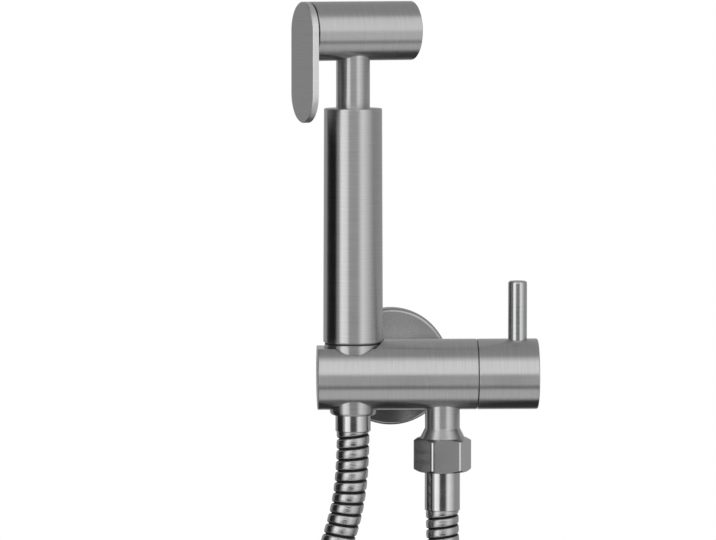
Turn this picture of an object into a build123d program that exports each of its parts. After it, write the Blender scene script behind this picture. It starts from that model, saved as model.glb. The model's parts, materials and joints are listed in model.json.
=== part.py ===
# A bidet shower set for the wall beside a toilet: a round shut-off valve with a quarter-turn
# handle, whose left end is the holder of the handset, a sliding wall flange, a metal hose with
# its spare length coiled and tied, and a handset with a thumb trigger.
#
# Millimetres. The origin is where the inlet's axis meets the wall's face. +X runs right along
# the valve, +Y runs into the wall and +Z is up.

import os
from math import cos, radians, sin, sqrt, tan

from build123d import *

os.makedirs("parts", exist_ok=True)

# Play between pieces: round a piece that slides or turns, and between ends that pass
slip = 0.05
seam = 0.3

# Valve body, a cylinder along X
wall_gap = 44.0
body_r = 15.0
body_right = 34.5
body_edge = 0.4
cavity_left = 10.5
cavity_r = 10.5

# Holder for the handset in the valve's left end
handset_x = -18.0
holder_play = 0.3
holder_wall = 2.8
flat_drop = 3.4
pocket_play = 0.5

# Inlet through the wall
thread_r = 10.48
thread_length = 14.0
shank_r = 10.3
shank_length = 22.0
collar_r = 9.5
collar_seat = 11.0
socket_r = 7.5
socket_seat = 8.0
water_r = 4.5
filter_r = 8.0
filter_depth = 5.0
filter_thickness = 1.5
filter_hole_r = 0.9
filter_pitch = 3.6

# Wall flange
flange_r = 25.3
flange_depth = 8.0
flange_wall = 1.6
flange_round = 1.8
flange_bore_play = 0.3
flange_hub_wall = 2.8
flange_ring_r = 0.9

# Quarter-turn cartridge
disc_r = 9.0
disc_thickness = 2.4
port_r = 7.4
port_core_r = 3.8
port_width = 7.0
seal_thickness = 1.5
seal_inner_r = 7.6
cartridge_play = 0.1
cartridge_length = 18.0
cartridge_chamber = 12.0
window_width = 8.0
window_length = 5.0
window_start = 5.6
nut_length = 8.4
nut_bore_r = 4.8
spindle_r = 4.0
spindle_length = 29.0
drive_thickness = 1.5
ring_groove_r = 2.9
ring_wire_r = 0.57
ring_at = 14.8

# Handle
cap_length = 25.7
cap_recess_r = 11.5
cap_recess_depth = 5.0
cap_socket_depth = 12.0
cap_edge = 0.7
lever_x = 51.9
lever_r = 4.0
lever_top = 39.6
lever_root = 9.0
lever_edge = 1.0
screw_x = 43.0
screw_r = 2.0
screw_length = 9.4
screw_key = 2.0

# Outlet and hose nut
outlet_x = 20.0
nipple_r = 7.4
nipple_seat = 11.9
nipple_foot = 22.9
outlet_thread_r = 9.5
outlet_thread_top = 27.0
outlet_thread_length = 7.0
washer_thickness = 2.0
tail_flange = 1.9
tail_r = 5.5
tail_bore_r = 3.5
nut_flats = 22.0
nut_top = 27.1
nut_height = 14.3
nut_turn = 6.5
nut_edge = 1.1

# Hose
hose_r = 7.0
hose_bore_r = 5.0
groove_depth = 1.1
rib_pitch = 5.8
ferrule_r = 7.5
ferrule_length = 16.6
ferrule_edge = 0.5
coil_mid_r = 77.0
coil_x = -8.0
coil_z = -245.0
coil_depth = 16.0
tie_width = 9.0
tie_thickness = 1.2
tie_play = 0.15

# Docking cone, the nut that joins the hose to the handset
cone_rise = 1.4
cone_top_r = 12.15
cone_taper = 0.081
cone_reach = 2.2
cone_round = 1.6
stub_r = 10.3
stub_length = 9.5
chamber_r = 8.6
cone_floor = 3.0
base_washer = 2.0
ferrule_play = 0.3
handset_ferrule_foot = -24.2

# Grip and neck
grip_seal_thickness = 0.6
grip_low_r = 12.65
grip_top_r = 12.3
grip_length = 99.4
grip_wall_top = 3.0
grip_bore_r = 9.5
grip_low_edge = 0.9
grip_top_edge = 0.6
connector_length = 12.4
tube_r = 5.0
tube_wall = 1.0
tube_socket = 6.0
neck_r = 7.15
neck_flange_r = 9.3
neck_flange = 3.0
neck_bore_r = 4.4

# Head, a cylinder across the neck, and its turn about the upright axis
handset_turn = 20.0
head_rise = 32.6
head_r = 12.5
head_back = 19.9
head_front = 26.9
head_wall = 1.6
head_edge = 0.5
partition_back = 11.5
partition_front = 8.5
chamber_front = 10.0
chamber_step = 0.7

# Valve and spray parts in the head
seat_thickness = 3.5
seat_bore_r = 3.2
lip_height = 1.0
lip_r = 4.0
poppet_r = 4.5
poppet_thickness = 1.5
poppet_washer_thickness = 1.2
stem_r = 1.5
stem_head_r = 2.6
stem_head = 1.8
spring_wire_r = 0.5
spring_r = 3.3
spring_turns = 5
spring_sides = 8
spray_thickness = 1.8
spray_inset = 0.7
spray_hole_r = 0.6
spray_pitch = 3.1
sleeve_bore_r = 8.6
gland_r = 3.4
gland_head_r = 4.3
gland_head = 1.0
gland_ring_r = 0.6

# Trigger
paddle_gap = 0.7
paddle_thickness = 2.6
paddle_drop = 26.0
paddle_edge = 0.35
pivot_inset = 1.5
pivot_drop = 8.0
pivot_r = 1.0
tongue_half = 3.0
ear_half = 4.9
bracket_thickness = 1.5
fork_play = 0.2
fork_half = 4.2
fork_height = 3.2
prong_height = 1.6
prong_depth = 1.9


def outline(plane, *points):
    """A closed profile with straight sides, on a plane."""
    with BuildSketch(plane) as profile:
        with BuildLine():
            Polyline(*points, close=True)
        make_face()
    return profile.sketch


def disc(plane, radius, bore=0.0):
    """A round or ring-shaped profile, on a plane."""
    with BuildSketch(plane) as profile:
        Circle(radius)
        if bore:
            Circle(bore, mode=Mode.SUBTRACT)
    return profile.sketch


def rim(part, place, axis):
    """The edges of a part whose centres are lowest (place 0) or highest (place -1) on an axis."""
    return part.edges().filter_by(GeomType.CIRCLE).group_by(axis)[place]


def finish(piece, name):
    """Label a finished piece and write it."""
    piece.part.label = name
    export_step(piece.part, f"parts/{name}.step")


# Planes and axes that the pieces share

valve_axis = Axis((0, -wall_gap, 0), (1, 0, 0))
valve_side = Plane(origin=(0, -wall_gap, 0), x_dir=(1, 0, 0), z_dir=(0, -1, 0))
outlet_axis = Axis((outlet_x, -wall_gap, 0), (0, 0, 1))
outlet_side = Plane(origin=(outlet_x, -wall_gap, 0), x_dir=(1, 0, 0), z_dir=(0, -1, 0))

along = Vector(cos(radians(handset_turn)), sin(radians(handset_turn)), 0)
across = Vector(-sin(radians(handset_turn)), cos(radians(handset_turn)), 0)
handset_foot = Vector(handset_x, -wall_gap, 0)
handset_axis = Axis(handset_foot, (0, 0, 1))
handset_side = Plane(origin=handset_foot, x_dir=along, z_dir=-across)


def valve_end(x):
    """A plane across the valve's axis, looking right."""
    return Plane(origin=(x, -wall_gap, 0), x_dir=(0, 1, 0), z_dir=(1, 0, 0))


def level(x, z):
    """A level plane over the valve's axis."""
    return Plane(origin=(x, -wall_gap, z), x_dir=(1, 0, 0), z_dir=(0, 0, 1))


# Heights and places that follow from the sizes

flat_z = body_r - flat_drop
cone_top = flat_z + cone_rise
cone_foot = -body_r - cone_reach


def cone_r(z):
    """Radius of the docking cone at a height."""
    return cone_top_r - cone_taper * (cone_top - z)


body_left = handset_x - cone_r(flat_z) - holder_play - holder_wall
grip_foot = cone_top + grip_seal_thickness
grip_top = grip_foot + grip_length
head_z = grip_top + head_rise
nut_foot = -nut_top - nut_height
washer_top = -outlet_thread_top - outlet_thread_length
tail_top = washer_top - washer_thickness
tail_under = tail_top - tail_flange
supply_foot = nut_foot - 0.1 - ferrule_length
stub_foot = cone_top - stub_length
base_tail_top = stub_foot - base_washer - slip
base_tail_under = base_tail_top - tail_flange
cone_shoulder = base_tail_under - slip
cone_lower_bore = cone_shoulder - cone_floor

# Valve body

with BuildPart() as valve_body:
    extrude(disc(valve_end(body_left), body_r), amount=body_right - body_left)
    chamfer(rim(valve_body, 0, Axis.X) + rim(valve_body, -1, Axis.X), length=body_edge)
    # The holder: a tapered hole for the cone, and a milled seat that is open to the left
    hole_reach = body_r + 1
    hole_low = cone_r(-hole_reach) + holder_play
    hole_high = cone_r(hole_reach) + holder_play
    revolve(
        outline(
            handset_side,
            (0, -hole_reach), (hole_low, -hole_reach), (hole_high, hole_reach), (0, hole_reach),
        ),
        axis=handset_axis,
        mode=Mode.SUBTRACT,
    )
    with BuildSketch(level(handset_x, flat_z)) as seat:
        Circle(grip_low_r + pocket_play)
        with Locations((-body_r, 0)):
            Rectangle(2 * body_r, 2 * (grip_low_r + pocket_play))
    extrude(amount=body_r, mode=Mode.SUBTRACT)
    # The cartridge's cavity, and the way in from the inlet
    extrude(disc(valve_end(cavity_left), cavity_r), amount=body_right, mode=Mode.SUBTRACT)
    extrude(disc(valve_end(0), water_r), amount=cavity_left, mode=Mode.SUBTRACT)
    revolve(
        outline(
            Plane.YZ,
            (0, 0), (0, collar_r), (collar_seat - wall_gap, collar_r),
            (collar_seat - wall_gap, socket_r), (socket_seat - wall_gap, socket_r),
            (socket_seat - wall_gap, water_r), (-wall_gap, water_r), (-wall_gap, 0),
        ),
        axis=Axis.Y,
        mode=Mode.SUBTRACT,
    )
    # The way out, and the nipple's socket
    revolve(
        outline(
            outlet_side,
            (0, 0), (water_r, 0), (water_r, -nipple_seat), (nipple_r, -nipple_seat),
            (nipple_r, -body_r - 1), (0, -body_r - 1),
        ),
        axis=outlet_axis,
        mode=Mode.SUBTRACT,
    )
finish(valve_body, "valve_body")

# Inlet spigot, whose threaded end goes into the wall fitting

spigot_back = socket_seat - wall_gap
collar_back = collar_seat - wall_gap
with BuildPart() as inlet_spigot:
    revolve(
        outline(
            Plane.YZ,
            (spigot_back, water_r), (spigot_back, socket_r), (collar_back, socket_r),
            (collar_back, collar_r), (-shank_length, collar_r), (-shank_length, shank_r),
            (0, shank_r), (0, thread_r), (thread_length - 1, thread_r),
            (thread_length, thread_r - 1), (thread_length, filter_r),
            (thread_length - filter_depth, filter_r), (thread_length - filter_depth, water_r),
        ),
        axis=Axis.Y,
    )
finish(inlet_spigot, "inlet_spigot")

with BuildPart() as inlet_filter:
    filter_face = Plane.XZ.offset(filter_depth - thread_length)
    extrude(disc(filter_face, filter_r - slip), amount=-filter_thickness)
    with BuildSketch(filter_face):
        with HexLocations(filter_pitch / 2, 3, 3):
            Circle(filter_hole_r)
    extrude(amount=-filter_thickness, mode=Mode.SUBTRACT)
finish(inlet_filter, "inlet_filter")

# Wall flange, a hollow rosette with an O-ring that grips the spigot

flange_bore = thread_r + flange_bore_play
hub_r = flange_bore + flange_hub_wall
ring_mid_r = thread_r + 0.08 + flange_ring_r
with BuildPart() as wall_flange:
    revolve(
        outline(
            Plane.YZ,
            (0, flange_bore), (0, hub_r), (flange_wall - flange_depth, hub_r),
            (flange_wall - flange_depth, flange_r - flange_wall - flange_round / 2),
            (-flange_round, flange_r - flange_wall), (0, flange_r - flange_wall),
            (0, flange_r), (-flange_depth, flange_r), (-flange_depth, flange_bore),
        ),
        axis=Axis.Y,
    )
    fillet(rim(wall_flange, 0, Axis.Y).sort_by(SortBy.RADIUS)[-1], radius=flange_round)
    ring_room = ring_mid_r + flange_ring_r + 0.03
    revolve(
        outline(
            Plane.YZ,
            (-flange_depth / 2 - flange_ring_r, 0), (-flange_depth / 2 - flange_ring_r, ring_room),
            (-flange_depth / 2 + flange_ring_r, ring_room), (-flange_depth / 2 + flange_ring_r, 0),
        ),
        axis=Axis.Y,
        mode=Mode.SUBTRACT,
    )
finish(wall_flange, "wall_flange")

with BuildPart() as flange_o_ring:
    with BuildSketch(Plane.YZ):
        with Locations((-flange_depth / 2, ring_mid_r)):
            Circle(flange_ring_r)
    revolve(axis=Axis.Y)
finish(flange_o_ring, "flange_o_ring")

# Cartridge: a seal, two ceramic discs with ports, the sleeve round them and its nut


def ports(plane, angle):
    """Two opposite ports of a ceramic disc."""
    with BuildSketch(plane) as holes:
        Circle(port_r)
        Rectangle(2 * port_r, port_width, rotation=angle, mode=Mode.INTERSECT)
        Circle(port_core_r, mode=Mode.SUBTRACT)
    return holes.sketch


disc_left = cavity_left + seal_thickness
turning_left = disc_left + disc_thickness + slip
drive_left = turning_left + disc_thickness
chamber_right = disc_left + cartridge_chamber
cartridge_right = disc_left + cartridge_length
cartridge_r = cavity_r - cartridge_play
cap_left = body_right + seam
cap_right = cap_left + cap_length

with BuildPart() as seat_seal:
    extrude(disc(valve_end(cavity_left), cartridge_r, seal_inner_r), amount=seal_thickness)
finish(seat_seal, "seat_seal")

with BuildPart() as fixed_disc:
    extrude(disc(valve_end(disc_left), disc_r), amount=disc_thickness)
    extrude(ports(valve_end(disc_left), 90), amount=disc_thickness, mode=Mode.SUBTRACT)
finish(fixed_disc, "fixed_disc")

with BuildPart() as turning_disc:
    extrude(disc(valve_end(turning_left), disc_r - slip), amount=disc_thickness)
    extrude(ports(valve_end(turning_left), 0), amount=disc_thickness, mode=Mode.SUBTRACT)
finish(turning_disc, "turning_disc")

with BuildPart() as cartridge_body:
    revolve(
        outline(
            valve_side,
            (disc_left, disc_r), (disc_left, cartridge_r), (cartridge_right, cartridge_r),
            (cartridge_right, spindle_r + slip), (chamber_right, spindle_r + slip),
            (chamber_right, disc_r),
        ),
        axis=valve_axis,
    )
    window_mid = disc_left + window_start + window_length / 2
    with Locations((window_mid, -wall_gap, 0)):
        Box(window_length, window_width, 2 * cavity_r, mode=Mode.SUBTRACT)
        Box(window_length, 2 * cavity_r, window_width, mode=Mode.SUBTRACT)
finish(cartridge_body, "cartridge_body")

with BuildPart() as cartridge_nut:
    extrude(disc(valve_end(cartridge_right), cartridge_r, nut_bore_r), amount=nut_length)
    chamfer(rim(cartridge_nut, -1, Axis.X), length=body_edge)
finish(cartridge_nut, "cartridge_nut")

glide_left = cap_left + 0.4
glide_right = cartridge_right + nut_length - 0.4
with BuildPart() as glide_ring:
    extrude(
        disc(valve_end(glide_left), cap_recess_r - slip, cartridge_r), amount=glide_right - glide_left
    )
finish(glide_ring, "glide_ring")

with BuildPart() as spindle:
    extrude(disc(valve_end(drive_left), disc_r - 4 * slip), amount=drive_thickness)
    extrude(ports(valve_end(drive_left), 0), amount=drive_thickness, mode=Mode.SUBTRACT)
    extrude(disc(valve_end(drive_left), spindle_r), amount=spindle_length)
    groove_left = drive_left + ring_at - ring_wire_r
    extrude(
        disc(valve_end(groove_left), spindle_r + 1, ring_groove_r),
        amount=2 * ring_wire_r,
        mode=Mode.SUBTRACT,
    )
    chamfer(rim(spindle, -1, Axis.X), length=body_edge)
finish(spindle, "spindle")

with BuildPart() as spindle_o_ring:
    with BuildSketch(valve_side):
        with Locations((drive_left + ring_at, ring_groove_r + ring_wire_r)):
            Circle(ring_wire_r)
    revolve(axis=valve_axis)
finish(spindle_o_ring, "spindle_o_ring")

# Handle

with BuildPart() as handle_cap:
    extrude(disc(valve_end(cap_left), body_r), amount=cap_length)
    chamfer(rim(handle_cap, 0, Axis.X), length=body_edge)
    fillet(rim(handle_cap, -1, Axis.X), radius=cap_edge)
    extrude(disc(valve_end(cap_left), cap_recess_r), amount=cap_recess_depth, mode=Mode.SUBTRACT)
    extrude(disc(valve_end(cap_left), spindle_r), amount=cap_socket_depth, mode=Mode.SUBTRACT)
    extrude(disc(level(lever_x, lever_root), lever_r), amount=body_r, mode=Mode.SUBTRACT)
    extrude(disc(level(screw_x, -body_r), screw_r), amount=body_r, mode=Mode.SUBTRACT)
finish(handle_cap, "handle_cap")

with BuildPart() as lever_pin:
    extrude(disc(level(lever_x, lever_root), lever_r), amount=lever_top - lever_root)
    fillet(rim(lever_pin, -1, Axis.Z), radius=lever_edge)
finish(lever_pin, "lever_pin")

with BuildPart() as handle_screw:
    screw_top = level(screw_x, -spindle_r)
    extrude(disc(screw_top, screw_r), amount=-screw_length)
    with BuildSketch(level(screw_x, -spindle_r - screw_length)):
        RegularPolygon(screw_key / 2, 6, major_radius=False)
    extrude(amount=screw_length / 3, mode=Mode.SUBTRACT)
finish(handle_screw, "handle_screw")

# Outlet nipple and the hose's valve end

with BuildPart() as outlet_nipple:
    revolve(
        outline(
            outlet_side,
            (water_r, -nipple_seat), (nipple_r, -nipple_seat), (nipple_r, -nipple_foot),
            (outlet_thread_r, -outlet_thread_top), (outlet_thread_r, washer_top),
            (water_r, washer_top),
        ),
        axis=outlet_axis,
    )
finish(outlet_nipple, "outlet_nipple")

tail_flange_r = outlet_thread_r - slip
with BuildPart() as nut_washer:
    extrude(
        disc(level(outlet_x, tail_top), tail_flange_r, water_r), amount=washer_thickness
    )
finish(nut_washer, "nut_washer")

with BuildPart() as supply_tail:
    revolve(
        outline(
            outlet_side,
            (tail_bore_r, tail_top), (tail_flange_r, tail_top), (tail_flange_r, tail_under),
            (tail_r, tail_under), (tail_r, supply_foot), (tail_bore_r, supply_foot),
        ),
        axis=outlet_axis,
    )
finish(supply_tail, "supply_tail")

with BuildPart() as hose_nut:
    with BuildSketch(level(outlet_x, nut_foot)):
        RegularPolygon(nut_flats / 2, 6, major_radius=False, rotation=nut_turn)
    extrude(amount=nut_height)
    # The hexagon's corners are turned off at 30 degrees, at both ends
    turned_r = nut_flats / 2 - nut_edge / 2
    corner_r = nut_flats / sqrt(3) + 1
    corner_drop = (corner_r - turned_r) * tan(radians(30))
    revolve(
        outline(
            outlet_side,
            (0, nut_foot), (turned_r, nut_foot), (corner_r, nut_foot + corner_drop),
            (corner_r, -nut_top - corner_drop), (turned_r, -nut_top), (0, -nut_top),
        ),
        axis=outlet_axis,
        mode=Mode.INTERSECT,
    )
    revolve(
        outline(
            outlet_side,
            (0, nut_foot), (tail_r + slip, nut_foot), (tail_r + slip, tail_under),
            (outlet_thread_r, tail_under), (outlet_thread_r, -nut_top), (0, -nut_top),
        ),
        axis=outlet_axis,
        mode=Mode.SUBTRACT,
    )
finish(hose_nut, "hose_nut")


def ferrule_profile(plane, foot, top):
    """Half section of a crimped ferrule, with turned-in ends."""
    return outline(
        plane,
        (tail_r, foot), (ferrule_r - ferrule_edge, foot), (ferrule_r, foot + ferrule_edge),
        (ferrule_r, top - ferrule_edge), (ferrule_r - ferrule_edge, top), (tail_r, top),
    )


with BuildPart() as supply_ferrule:
    supply_top = supply_foot + ferrule_length
    revolve(ferrule_profile(outlet_side, supply_foot, supply_top), axis=outlet_axis)
finish(supply_ferrule, "supply_ferrule")

# The hose's handset end: a tail that swivels in the cone nut, and its ferrule

handset_upright = Plane(origin=handset_foot, x_dir=(1, 0, 0), z_dir=(0, -1, 0))
base_tail_r = chamber_r - slip
with BuildPart() as handset_tail:
    revolve(
        outline(
            handset_upright,
            (tail_bore_r, base_tail_top), (base_tail_r, base_tail_top),
            (base_tail_r, base_tail_under), (tail_r, base_tail_under),
            (tail_r, handset_ferrule_foot), (tail_bore_r, handset_ferrule_foot),
        ),
        axis=handset_axis,
    )
finish(handset_tail, "handset_tail")

with BuildPart() as handset_ferrule:
    ferrule_top = cone_lower_bore - ferrule_play
    revolve(
        ferrule_profile(handset_upright, handset_ferrule_foot, ferrule_top), axis=handset_axis
    )
finish(handset_ferrule, "handset_ferrule")

# Docking cone and the handset's base

with BuildPart() as cone_nut:
    revolve(
        outline(
            handset_side,
            (0, cone_foot), (cone_r(cone_foot), cone_foot), (cone_top_r, cone_top), (0, cone_top),
        ),
        axis=handset_axis,
    )
    fillet(rim(cone_nut, 0, Axis.Z), radius=cone_round)
    revolve(
        outline(
            handset_side,
            (0, cone_foot), (ferrule_r + ferrule_play, cone_foot),
            (ferrule_r + ferrule_play, cone_lower_bore), (tail_r + slip, cone_lower_bore),
            (tail_r + slip, cone_shoulder), (chamber_r, cone_shoulder), (chamber_r, stub_foot),
            (stub_r, stub_foot), (stub_r, cone_top), (0, cone_top),
        ),
        axis=handset_axis,
        mode=Mode.SUBTRACT,
    )
finish(cone_nut, "cone_nut")

with BuildPart() as handset_washer:
    extrude(
        disc(level(handset_x, stub_foot - base_washer), chamber_r - slip, neck_bore_r),
        amount=base_washer,
    )
finish(handset_washer, "handset_washer")

with BuildPart() as grip_seal:
    extrude(disc(level(handset_x, cone_top), cone_top_r - 0.2, stub_r), amount=grip_seal_thickness)
finish(grip_seal, "grip_seal")

connector_top = grip_foot + connector_length
with BuildPart() as base_connector:
    revolve(
        outline(
            handset_side,
            (neck_bore_r, stub_foot), (stub_r, stub_foot), (stub_r, connector_top),
            (tube_r, connector_top), (tube_r, connector_top - tube_socket),
            (neck_bore_r, connector_top - tube_socket),
        ),
        axis=handset_axis,
    )
finish(base_connector, "base_connector")

with BuildPart() as grip_sleeve:
    revolve(
        outline(
            handset_side,
            (0, grip_foot), (grip_low_r, grip_foot), (grip_top_r, grip_top), (0, grip_top),
        ),
        axis=handset_axis,
    )
    fillet(rim(grip_sleeve, 0, Axis.Z), radius=grip_low_edge)
    fillet(rim(grip_sleeve, -1, Axis.Z), radius=grip_top_edge)
    revolve(
        outline(
            handset_side,
            (0, grip_foot), (stub_r, grip_foot), (stub_r, connector_top),
            (grip_bore_r, connector_top), (grip_bore_r, grip_top - grip_wall_top),
            (neck_r, grip_top - grip_wall_top), (neck_r, grip_top), (0, grip_top),
        ),
        axis=handset_axis,
        mode=Mode.SUBTRACT,
    )
finish(grip_sleeve, "grip_sleeve")

neck_foot = grip_top - grip_wall_top - neck_flange
tube_foot = connector_top - tube_socket
tube_top = neck_foot + tube_socket
with BuildPart() as inner_tube:
    extrude(disc(level(handset_x, tube_foot), tube_r, tube_r - tube_wall), amount=tube_top - tube_foot)
finish(inner_tube, "inner_tube")

head_axis = Axis(handset_foot + Vector(0, 0, head_z), along)
head_side = Plane(origin=handset_foot + Vector(0, 0, head_z), x_dir=along, z_dir=-across)


def head_front_plane(reach):
    """A plane across the head, looking to the spray end, at a reach from the neck's axis."""
    return Plane(origin=head_side.origin + along * reach, x_dir=across, z_dir=along)


with BuildPart() as neck_tube:
    revolve(
        outline(
            handset_side,
            (tube_r, neck_foot), (neck_flange_r, neck_foot), (neck_flange_r, neck_foot + neck_flange),
            (neck_r, neck_foot + neck_flange), (neck_r, head_z), (neck_bore_r, head_z),
            (neck_bore_r, tube_top), (tube_r, tube_top),
        ),
        axis=handset_axis,
    )
    extrude(
        disc(head_front_plane(-head_back), head_r), amount=head_back + head_front, mode=Mode.SUBTRACT
    )
finish(neck_tube, "neck_tube")

# Head shell: a back pocket for the trigger's works, a partition, the water chamber and,
# from a step on, a wider bore for the seat, the sleeve and the spray plate

bore_r = head_r - head_wall
water_chamber_r = bore_r - chamber_step
with BuildPart() as head_shell:
    extrude(disc(head_front_plane(-head_back), head_r), amount=head_back + head_front)
    chamfer(head_shell.edges().filter_by(GeomType.CIRCLE), length=head_edge)
    revolve(
        outline(
            head_side,
            (-head_back, 0), (-head_back, bore_r), (-partition_back, bore_r),
            (-partition_back, gland_r), (-partition_front, gland_r),
            (-partition_front, water_chamber_r), (chamber_front, water_chamber_r),
            (chamber_front, bore_r), (head_front, bore_r), (head_front, 0),
        ),
        axis=head_axis,
        mode=Mode.SUBTRACT,
    )
    extrude(
        disc(level(handset_x, head_z - head_r - 1), neck_bore_r), amount=head_r, mode=Mode.SUBTRACT
    )
finish(head_shell, "head_shell")

with BuildPart() as valve_seat:
    seat_front = chamber_front + seat_thickness
    revolve(
        outline(
            head_side,
            (chamber_front - lip_height, seat_bore_r), (chamber_front - lip_height, lip_r),
            (chamber_front, lip_r), (chamber_front, bore_r), (seat_front, bore_r),
            (seat_front, seat_bore_r),
        ),
        axis=head_axis,
    )
finish(valve_seat, "valve_seat")

spray_back = head_front - spray_inset - spray_thickness
with BuildPart() as flow_sleeve:
    extrude(
        disc(head_front_plane(seat_front), bore_r, sleeve_bore_r), amount=spray_back - seat_front
    )
finish(flow_sleeve, "flow_sleeve")

with BuildPart() as spray_plate:
    extrude(disc(head_front_plane(spray_back), bore_r), amount=spray_thickness)
    with BuildSketch(head_front_plane(spray_back)):
        Circle(spray_hole_r)
        for ring in (1, 2):
            with PolarLocations(ring * spray_pitch, 6 * ring):
                Circle(spray_hole_r)
    extrude(amount=spray_thickness, mode=Mode.SUBTRACT)
finish(spray_plate, "spray_plate")

# Stem with its poppet, pushed shut by the spring. Its reach counts from the neck's axis

washer_front = chamber_front - lip_height - slip
poppet_front = washer_front - poppet_washer_thickness
poppet_back = poppet_front - poppet_thickness
pivot_x = -head_back + pivot_inset
arm_reach = -partition_back - bracket_thickness - seam
prong_back = arm_reach - prong_depth
stem_head_front = prong_back - fork_play
stem_back = stem_head_front - stem_head
with BuildPart() as valve_stem:
    revolve(
        outline(
            head_side,
            (stem_back, 0), (stem_back, stem_head_r), (stem_head_front, stem_head_r),
            (stem_head_front, stem_r), (poppet_back, stem_r), (poppet_back, poppet_r),
            (poppet_front, poppet_r), (poppet_front, stem_r), (washer_front, stem_r),
            (washer_front, 0),
        ),
        axis=head_axis,
    )
finish(valve_stem, "valve_stem")

with BuildPart() as poppet_washer:
    extrude(
        disc(head_front_plane(poppet_front), poppet_r - 0.1, stem_r), amount=poppet_washer_thickness
    )
finish(poppet_washer, "poppet_washer")

spring_back = -partition_front
spring_length = poppet_back - spring_back
with BuildPart() as return_spring:
    coil_base = head_front_plane(spring_back + spring_wire_r)
    with BuildLine():
        wire = Helix(
            pitch=(spring_length - 2 * spring_wire_r) / spring_turns,
            height=spring_length - 2 * spring_wire_r,
            radius=spring_r,
            center=coil_base.origin,
            direction=along,
        )
    with BuildSketch(Plane(origin=wire @ 0, z_dir=wire % 0)):
        RegularPolygon(spring_wire_r, spring_sides)
    sweep(path=wire, is_frenet=True)
finish(return_spring, "return_spring")

ring_mid = -(partition_back + partition_front) / 2
gland_ring_mid_r = stem_r + 0.03 + gland_ring_r
with BuildPart() as stem_gland:
    revolve(
        outline(
            head_side,
            (-partition_back - gland_head, stem_r + slip),
            (-partition_back - gland_head, gland_head_r), (-partition_back, gland_head_r),
            (-partition_back, gland_r), (-partition_front, gland_r),
            (-partition_front, stem_r + slip), (ring_mid + gland_ring_r, stem_r + slip),
            (ring_mid + gland_ring_r, gland_ring_mid_r + gland_ring_r),
            (ring_mid - gland_ring_r, gland_ring_mid_r + gland_ring_r),
            (ring_mid - gland_ring_r, stem_r + slip),
        ),
        axis=head_axis,
    )
finish(stem_gland, "stem_gland")

with BuildPart() as gland_o_ring:
    with BuildSketch(head_side):
        with Locations((ring_mid, gland_ring_mid_r)):
            Circle(gland_ring_r)
    revolve(axis=head_axis)
finish(gland_o_ring, "gland_o_ring")

# Bracket in the back pocket: a plate with two ears that carry the trigger's pin

with BuildPart() as trigger_bracket:
    extrude(
        disc(head_front_plane(-partition_back), bore_r, gland_head_r), amount=-bracket_thickness
    )
    ear_back = pivot_x - pivot_r - 0.8
    ear_top = -pivot_drop + pivot_r + 1.2
    for side in (-1, 1):
        ear = outline(
            head_side.offset(side * (tongue_half + ear_half + seam) / 2),
            (-partition_back, -bore_r), (ear_back, -bore_r), (ear_back, ear_top),
            (-partition_back, ear_top),
        )
        extrude(ear, amount=(ear_half - tongue_half - seam) / 2, both=True)
    extrude(
        disc(head_front_plane(-head_back), bore_r - slip), amount=head_back, mode=Mode.INTERSECT
    )
    with BuildSketch(head_side):
        with Locations((pivot_x, -pivot_drop)):
            Circle(pivot_r)
    extrude(amount=bore_r, both=True, mode=Mode.SUBTRACT)
finish(trigger_bracket, "trigger_bracket")

with BuildPart() as pivot_pin:
    with BuildSketch(head_side):
        with Locations((pivot_x, -pivot_drop)):
            Circle(pivot_r)
    extrude(amount=ear_half, both=True)
finish(pivot_pin, "pivot_pin")

# Thumb plate with its tongue on the pin and its fork round the stem

paddle_inner = -head_back - paddle_gap
with BuildPart() as trigger_paddle:
    inner_plane = Plane(origin=head_side.origin + along * paddle_inner, x_dir=-across, z_dir=-along)
    with BuildSketch(inner_plane):
        with Locations((0, -paddle_drop / 2)):
            SlotCenterToCenter(paddle_drop, 2 * head_r, rotation=90)
    extrude(amount=paddle_thickness)
    chamfer(trigger_paddle.faces().filter_by(GeomType.PLANE).group_by(
        Axis(head_side.origin, along))[0].edges(), length=paddle_edge)
    tongue_r = pivot_r + 1.1
    with BuildSketch(head_side):
        with BuildLine():
            Polyline(
                (pivot_x, -pivot_drop - tongue_r), (paddle_inner - 0.1, -pivot_drop - tongue_r),
                (paddle_inner - 0.1, -pivot_drop + tongue_r), (pivot_x, -pivot_drop + tongue_r),
            )
            ThreePointArc(
                (pivot_x, -pivot_drop + tongue_r), (pivot_x + tongue_r, -pivot_drop),
                (pivot_x, -pivot_drop - tongue_r),
            )
        make_face()
        with Locations((pivot_x, -pivot_drop)):
            Circle(pivot_r + slip, mode=Mode.SUBTRACT)
    extrude(amount=tongue_half, both=True)
    arm_inner = stem_head_r + seam
    for side in (-1, 1):
        arm = outline(
            head_side.offset(side * (arm_inner + fork_half) / 2),
            (paddle_inner - 0.1, -fork_height / 2), (arm_reach, -fork_height / 2),
            (arm_reach, fork_height / 2), (paddle_inner - 0.1, fork_height / 2),
        )
        extrude(arm, amount=(fork_half - arm_inner) / 2, both=True)
        prong_inner = stem_r + seam
        prong = outline(
            head_side.offset(side * (prong_inner + fork_half) / 2),
            (prong_back, -prong_height / 2), (arm_reach, -prong_height / 2),
            (arm_reach, prong_height / 2), (prong_back, prong_height / 2),
        )
        extrude(prong, amount=(fork_half - prong_inner) / 2, both=True)
finish(trigger_paddle, "trigger_paddle")

# Hose. Both strands leave their ferrules straight down and bend out to the two sides of
# the coil; their points are chosen by hand. The coil is one and a half turns

coil_front_y = -wall_gap - coil_depth / 2
coil_back_y = -wall_gap + coil_depth / 2
coil_left_x = coil_x - coil_mid_r
coil_right_x = coil_x + coil_mid_r
strand_foot = coil_z + 2 * hose_r

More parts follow.
